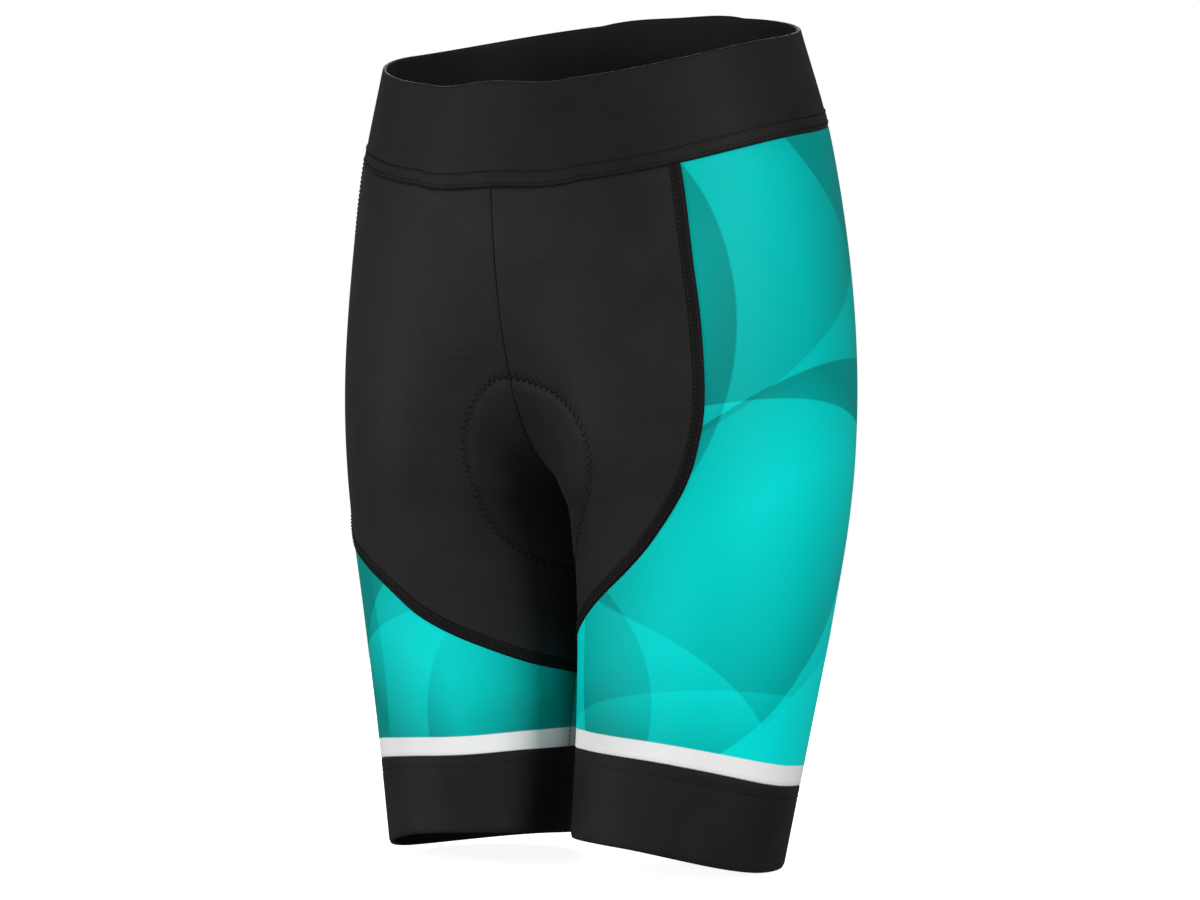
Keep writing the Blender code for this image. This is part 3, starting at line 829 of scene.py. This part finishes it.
def stitch_tree():
    """Geometry Nodes that lay one thread stitch after another along sewn rows."""
    tree = bpy.data.node_groups.new("sewn stitches", "GeometryNodeTree")
    face = tree.interface
    face.new_socket("Rows", in_out="OUTPUT", socket_type="NodeSocketGeometry")
    face.new_socket("Rows", in_out="INPUT", socket_type="NodeSocketGeometry")
    for label in STITCH_COLUMNS:
        face.new_socket(label, in_out="INPUT", socket_type="NodeSocketFloat")
    face.new_socket("Thread", in_out="INPUT", socket_type="NodeSocketMaterial")
    given = add_node(tree, "NodeGroupInput").outputs
    line = add_node(tree, "GeometryNodeMeshToCurve", {"Mesh": given["Rows"]})
    spots = add_node(tree, "GeometryNodeResampleCurve", {"Curve": line.outputs[0]}, mode="LENGTH")
    tree.links.new(given["Pitch"], spots.inputs["Length"])
    half = calc(tree, "MULTIPLY", given["Stitch length"], 0.5)
    flat = calc(tree, "MULTIPLY", given["Thread radius"], 0.75)
    size = add_node(tree, "ShaderNodeCombineXYZ", {"X": half, "Y": given["Thread radius"], "Z": flat})
    thread = add_node(tree, "GeometryNodeMeshUVSphere", {"Segments": 6, "Rings": 4, "Radius": 1.0})
    stitch = add_node(tree, "GeometryNodeTransform",
                      {"Geometry": thread.outputs["Mesh"], "Scale": size.outputs[0]})
    heading = add_node(tree, "FunctionNodeAlignRotationToVector",
                       {"Vector": add_node(tree, "GeometryNodeInputTangent").outputs[0]}, axis="X")
    facing = add_node(tree, "GeometryNodeInputNamedAttribute", {"Name": "facing"}, data_type="FLOAT_VECTOR")
    laid = add_node(tree, "FunctionNodeAlignRotationToVector",
                    {"Rotation": heading.outputs[0], "Vector": facing.outputs["Attribute"]},
                    axis="Z", pivot_axis="X")
    # Every other stitch swings the other way
    turn = calc(tree, "MODULO", add_node(tree, "GeometryNodeInputIndex").outputs[0], 2.0)
    swing = calc(tree, "MULTIPLY", calc(tree, "MULTIPLY_ADD", turn, 2.0, -1.0), given["Swing"])
    swung = add_node(tree, "FunctionNodeAxisAngleToRotation", {"Axis": (0, 0, 1), "Angle": swing})
    turned = add_node(tree, "FunctionNodeRotateRotation",
                      {"Rotation": laid.outputs[0], "Rotate By": swung.outputs[0]}, rotation_space="LOCAL")
    uneven = add_node(tree, "FunctionNodeRandomValue", {2: 0.88, 3: 1.08, "Seed": 4})
    sewn = add_node(tree, "GeometryNodeInstanceOnPoints",
                    {"Points": spots.outputs[0], "Instance": stitch.outputs[0], "Rotation": turned.outputs[0],
                     "Scale": uneven.outputs[1]})
    real = add_node(tree, "GeometryNodeRealizeInstances", {"Geometry": sewn.outputs[0]})
    done = add_node(tree, "GeometryNodeSetMaterial",
                    {"Geometry": real.outputs[0], "Material": given["Thread"]})
    add_node(tree, "NodeGroupOutput", {"Rows": done.outputs[0]})
    return tree


def sew(name, rows, material):
    """A plain mesh of stitches along rows of (points, normals)."""
    points = np.vstack([row[0] for row in rows])
    facing = np.vstack([row[1] for row in rows])
    edges = []
    first = 0
    for row_points, _ in rows:
        edges += [(i, i + 1) for i in range(first, first + len(row_points) - 1)]
        first += len(row_points)
    lines = bpy.data.meshes.new(name + "_rows")
    lines.from_pydata([tuple(point) for point in points], edges, [])
    outward = lines.attributes.new("facing", "FLOAT_VECTOR", "POINT")
    outward.data.foreach_set("vector", facing.astype(np.float32).ravel())
    guide = placed(name + "_rows", lines)
    nodes = guide.modifiers.new("stitches", "NODES")
    nodes.node_group = stitches
    given = {**dict(zip(STITCH_COLUMNS, STITCHES[name])), "Thread": material}
    for item in stitches.interface.items_tree:
        if item.in_out == "INPUT" and item.name in given:
            nodes[item.identifier] = given[item.name]
    graph = bpy.context.evaluated_depsgraph_get()
    mesh = bpy.data.meshes.new_from_object(guide.evaluated_get(graph))
    mesh.name = name
    mesh.shade_smooth()
    bpy.data.objects.remove(guide)
    bpy.data.meshes.remove(lines)
    return placed(name, mesh)


def ring(level, lift):
    """A sewn row round the whole waist."""
    spots = [worn(np.array([[across, level]]), side, lift) for across, side in waist_rounds()]
    return tuple(np.vstack(part) for part in zip(*spots))


def leg_ring(side, share):
    """A sewn row round a leg band, at a share of its depth, from beside the inseam back to it."""
    around = np.linspace(0.004, 3.996, LEG_ROW_SAMPLES)
    return worn(np.stack((around, (1 - share) * leg_band_level(side, around) + share), 1), side)


def linear(hex_colour):
    """An sRGB hex colour as linear red, green, blue and alpha."""
    parts = [int(hex_colour[i:i + 2], 16) / 255 for i in (1, 3, 5)]
    return tuple(c / 12.92 if c <= 0.04045 else ((c + 0.055) / 1.055) ** 2.4 for c in parts) + (1.0,)


def new_material(name, *finish):
    """A material with its tree and shader, from values in the order of FINISH."""
    material = bpy.data.materials.new(name)
    material.use_nodes = True
    shader = material.node_tree.nodes["Principled BSDF"]
    for label, value in zip(FINISH, finish):
        shader.inputs[label].default_value = value
    return material, material.node_tree, shader


def noise(tree, size, detail):
    """Soft noise through the piece, in patches of about the given size."""
    spot = add_node(tree, "ShaderNodeTexCoord").outputs["Object"]
    given = {"Vector": spot, "Scale": 1 / size, "Detail": detail}
    return add_node(tree, "ShaderNodeTexNoise", given).outputs["Fac"]


def knit_height(tree, wale, course):
    """Columns of knitted loops: ribs along the cloth, cut by finer courses."""
    uv = add_node(tree, "ShaderNodeUVMap", uv_map="cloth").outputs[0]
    waves = []
    for pitch, direction in ((wale, "X"), (course, "Y")):
        wave = add_node(tree, "ShaderNodeTexWave",
                        {"Vector": uv, "Scale": WAVE_PITCH / pitch, "Distortion": 1.2, "Detail": 1.0,
                         "Detail Scale": 2.0}, wave_type="BANDS", bands_direction=direction)
        waves.append(wave.outputs["Fac"])
    return uv, calc(tree, "ADD", *waves)


def knit_bump(tree, shader, height, strength):
    bump = add_node(tree, "ShaderNodeBump", {"Height": height, "Strength": strength, "Distance": LOOP_HEIGHT})
    tree.links.new(bump.outputs[0], shader.inputs["Normal"])


def mottled(tree, dark, light):
    """A colour between two tones: soft cloudy changes with fine yarn specks over them."""
    both = calc(tree, "MULTIPLY_ADD", noise(tree, YARN_SIZE, 1.0), 0.6, noise(tree, CLOUD_SIZE, 2.0))
    share = ranged(tree, both, 0.5, 1.1)
    return add_node(tree, "ShaderNodeMix", {0: share, 6: dark, 7: light}, data_type="RGBA").outputs[2]


def black_cloth(name, dark, light, roughness, sheen, wale, course, strength):
    material, tree, shader = new_material(name, roughness, sheen, 0.5, 0.12)
    _, height = knit_height(tree, wale, course)
    tree.links.new(mottled(tree, linear(dark), linear(light)), shader.inputs["Base Color"])
    knit_bump(tree, shader, height, strength)
    return material


def printed_and_shaded_cloth():
    """Printed polyamide-elastane: overlapping soft arcs in three teal tones, some of them painted shade, and
    the plain white stripe.
    """
    material, tree, shader = new_material("printed_polyamide_elastane_with_painted_shade", 0.55, 0.0, 0.4, 0.05)
    uv, height = knit_height(tree, PANEL_WALE, PANEL_COURSE)
    tone = 0.5
    # Each arc moves the tone, and the deepest arcs paint shade into the print
    for centre, radius, fade, weight in PRINT_AND_SHADE_ARCS:
        spot = add_node(tree, "ShaderNodeVectorMath", {0: uv, 1: (*centre, 0)}, operation="DISTANCE")
        away = spot.outputs["Value"]
        faded = ranged(tree, away, radius - fade, radius)
        within = ranged(tree, away, radius + ARC_EDGE, radius)
        tone = calc(tree, "MULTIPLY_ADD", calc(tree, "MULTIPLY", faded, within), weight, tone)
    ramp = add_node(tree, "ShaderNodeValToRGB", {"Fac": tone})
    stops = ramp.color_ramp.elements
    stops[0].color = linear(TEAL_DEEP)
    stops[1].color = linear(TEAL_BRIGHT)
    stops.new(0.5).color = linear(TEAL_MIDDLE)
    high = add_node(tree, "ShaderNodeSeparateXYZ", {0: uv}).outputs[1]
    stripe = ranged(tree, high, STRIPE_WIDTH + STRIPE_EDGE, STRIPE_WIDTH - STRIPE_EDGE)
    colour = add_node(tree, "ShaderNodeMix", {0: stripe, 6: ramp.outputs[0], 7: linear(STRIPE_WHITE)},
                      data_type="RGBA")
    tree.links.new(colour.outputs[2], shader.inputs["Base Color"])
    knit_bump(tree, shader, height, 0.18)
    return material


def thread_material(name, colour):
    material, tree, shader = new_material(name, 0.45, 0.0, 0.4, 0.25)
    tone = ranged(tree, noise(tree, PLY_SIZE, 1.0), 0.3, 0.7, 0.75, 1.15)
    shade = add_node(tree, "ShaderNodeVectorMath", {0: linear(colour)[:3], "Scale": tone}, operation="SCALE")
    tree.links.new(shade.outputs[0], shader.inputs["Base Color"])
    return material


def aim_camera():
    """The photograph's view: from the wearer's left front, level with the thighs."""
    azimuth, elevation = map(math.radians, CAMERA_ANGLES)
    level = math.cos(elevation)
    back = Vector((math.sin(azimuth) * level, -math.cos(azimuth) * level, math.sin(elevation)))
    right = Vector((math.cos(azimuth), math.sin(azimuth), 0))
    up = back.cross(right)
    lens = bpy.data.cameras.new("photograph_view")
    lens.lens = CAMERA_LENS
    lens.sensor_width = SENSOR_WIDTH
    lens.sensor_fit = "HORIZONTAL"
    lens.clip_start = 0.05
    camera = placed("photograph_view", lens)
    turn = Matrix((right, up, back)).transposed().to_4x4()
    spot = back * CAMERA_DISTANCE + right * CAMERA_ASIDE + Vector((0, 0, CAMERA_HEIGHT))
    camera.matrix_world = Matrix.Translation(spot) @ turn
    bpy.context.scene.camera = camera


def soft_light(name, azimuth, height, width, tall, watts):
    """A soft panel round the garment, at an azimuth counted like the camera's."""
    panel = bpy.data.lights.new(name, "AREA")
    panel.shape = "RECTANGLE"
    panel.size = width
    panel.size_y = tall
    panel.energy = watts
    lamp = placed(name, panel)
    turn = math.radians(azimuth)
    place = Vector((math.sin(turn) * LIGHT_REACH, -math.cos(turn) * LIGHT_REACH, height))
    lamp.location = place
    lamp.rotation_euler = (Vector(LIGHT_AIM) - place).to_track_quat("-Z", "Y").to_euler()


def light_studio():
    """Soft panels in a white room."""
    for name, *how in SOFT_LIGHTS:
        soft_light(name, *how)
    world = bpy.data.worlds.new("white_studio")
    world.use_nodes = True
    tree = world.node_tree
    tree.nodes.clear()
    # The white room is dimmer below, where the floor lies in its own shade
    way = add_node(tree, "ShaderNodeTexCoord").outputs["Generated"]
    height = add_node(tree, "ShaderNodeSeparateXYZ", {0: way}).outputs[2]
    room = ranged(tree, height, *AMBIENT_REACH, AMBIENT_LOW, AMBIENT)
    seen = add_node(tree, "ShaderNodeLightPath").outputs["Is Camera Ray"]
    level = add_node(tree, "ShaderNodeMix", {0: seen, 2: room, 3: 1.0}, data_type="FLOAT")
    sky = add_node(tree, "ShaderNodeBackground", {"Color": (1, 1, 1, 1), "Strength": level.outputs[0]})
    add_node(tree, "ShaderNodeOutputWorld", {"Surface": sky.outputs[0]})
    bpy.context.scene.world = world
    bpy.context.scene.view_settings.view_transform = "Standard"
    bpy.context.scene.view_settings.look = "None"


def lay_floor():
    """A round sheet of pale paper just under the leg bands."""
    lowest = min(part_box(node)[0][2] for node in ("leg_band_left", "leg_band_right"))
    mesh = bpy.data.meshes.new("floor")
    shape = bmesh.new()
    bmesh.ops.create_circle(shape, cap_ends=True, segments=96, radius=FLOOR_RADIUS)
    bmesh.ops.translate(shape, verts=shape.verts, vec=(0, 0, lowest - FLOOR_DROP))
    shape.to_mesh(mesh)
    shape.free()
    paper, _, shader = new_material("pale_paper", 0.9)
    shader.inputs["Base Color"].default_value = linear(PAPER_WHITE)
    shader.inputs["Emission Color"].default_value = (1, 1, 1, 1)
    shader.inputs["Emission Strength"].default_value = 0.9
    mesh.materials.append(paper)
    floor = placed("floor", mesh)
    # The paper shows white without lighting the cloth from below
    floor.visible_diffuse = False
    floor.visible_glossy = False
    floor.visible_shadow = False


aim_camera()
light_studio()
lay_floor()

form_places, form_points, form_along, form_down, form_normals = plain_form()
reliefs = {side: relief(form_places, side)[..., None] for side in SIDES}

# Matte dyed knit, slightly cloudy in tone, with faint ribs of loops
black_knit = black_cloth(
    "black_knitted_polyamide_elastane", "#1a1a1b", "#222223", 0.58, 0.02, PANEL_WALE, PANEL_COURSE, 0.22,
)
# Brushed elastic scatters more light and hides its loops
black_elastic = black_cloth(
    "black_brushed_elastic_knit", "#151515", "#1c1c1c", 0.62, 0.02, 0.0009, 0.0012, 0.12,
)
# Seam allowance pressed flat under the flatlock, a little darker and denser
seam_knit = black_cloth("black_flatlock_seam_knit", "#080808", "#0e0e0e", 0.65, 0.01, 0.0008, 0.0010, 0.20)
# Smooth knit with soft-edged shades of one ink, some of them painted shade, and the same faint ribs under
# them
teal_knit = printed_and_shaded_cloth()
# Spun polyester with a slight gloss on each stitch
black_thread = thread_material("black_polyester_thread", "#1a1a1a")
# The same thread, darkened with painted shade where it sinks into its cloth, so it shows as a darker line
shade_painted_thread = thread_material("polyester_thread_with_painted_shade", "#050505")
stitches = stitch_tree()

# Shares along each edge of the grids, from the edge's usual length
ACROSS_SHARES = edge_shares(0.19)
DOWN_SHARES = edge_shares(0.34)
SIDE_SHARES = edge_shares(0.25)
SLEEVE_SHARES = edge_shares(0.15)

# The waistband's tops lie at level 0, so the shares in its profile are levels
tops = np.zeros(WAISTBAND_COLUMNS + 1)
cloths = {"waistband": banded("waistband_cloth", waist_rounds(), tops, waistband_profile(), WAISTBAND_LAYER)}
left_seams = make_panels("left", FRONT_SEAM_LEFT)
right_seams = make_panels("right", FRONT_SEAM_RIGHT)
for side in SIDES:
    rounds = leg_rounds(side)
    tops = leg_band_level(side, [across for across, _ in rounds])
    name = f"leg_band_cloth_{side}"
    cloths[f"leg_band_{side}"] = banded(name, rounds, tops, leg_band_profile(), LEG_BAND_WALL)

# Sewing by the node that it lies on
laid_on = {}
panel_rows = []
for part, index, toward in (("front", 0, -1), ("back", 1, 1)):
    for side, paths in zip(SIDES, (left_seams, right_seams)):
        path = paths[index]
        strip = flatlock_strip(f"{part}_seam_{side}", side, path, toward)
        laid_on[f"{part}_panel_{side}"] = [strip]
        for share in FLATLOCK_ROWS:
            row = shifted(path, toward, share * FLATLOCK_WIDTH)
            panel_rows.append(worn(row, side, FLATLOCK_LIFT))

panel_stitches = sew("flatlock_stitches", panel_rows, black_thread)
band_stitches = sew("waistband_stitches", [ring(level, BAND_LIFT) for level in COVERSTITCH_ROWS], shade_painted_thread)
leg_stitches = sew("leg_band_stitches", [leg_ring(side, LEG_BAND_ROW) for side in SIDES], shade_painted_thread)
pad_rows = [worn(path, side, PAD_LIFT) for side in SIDES for path in pad_paths(side)]
pad_stitches = sew("pad_outline_stitches", pad_rows, shade_painted_thread)
inseam_rows = []
for side, table in zip(SIDES, (FRONT_SEAM_LEFT, FRONT_SEAM_RIGHT)):
    last = float(leg_band_level(side, [0.0])[0]) - 0.002
    levels = np.linspace(table[-1][0] + 0.004, last, LINE_SAMPLES)
    inseam_rows.append(worn(np.stack((np.full_like(levels, INSEAM_ASIDE), levels), 1), side, INSEAM_LIFT))
inseam_stitches = sew("inseam_stitches", inseam_rows, shade_painted_thread)
strips = [strip for (strip,) in laid_on.values()]
laid_on["waistband"] = [band_stitches]

# Slot of each node's piece and the cut of what shows: width, length and area
CUTS = {
    "waistband": ("black_elastic", (0.790, 0.128), None),
    "front_panel_left": ("black_knit", (0.181, 0.324), 0.0314),
    "front_panel_right": ("black_knit", (0.238, 0.336), 0.0475),
    "back_panel_left": ("black_knit", (0.182, 0.353), 0.0325),
    "back_panel_right": ("black_knit", (0.181, 0.365), 0.0328),
    "side_panel_left": ("teal_knit", (0.545, 0.376), 0.1013),
    "side_panel_right": ("teal_knit", (0.544, 0.389), 0.0849),
    "leg_band_left": ("black_elastic", (0.411, 0.050), None),
    "leg_band_right": ("black_elastic", (0.411, 0.050), None),
}
for piece in (*strips, panel_stitches, band_stitches, leg_stitches, pad_stitches, inseam_stitches):
    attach(piece, "root")
for node, (slot, flat, area) in CUTS.items():
    piece = cloths[node]
    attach(piece, "root")
    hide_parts(node)
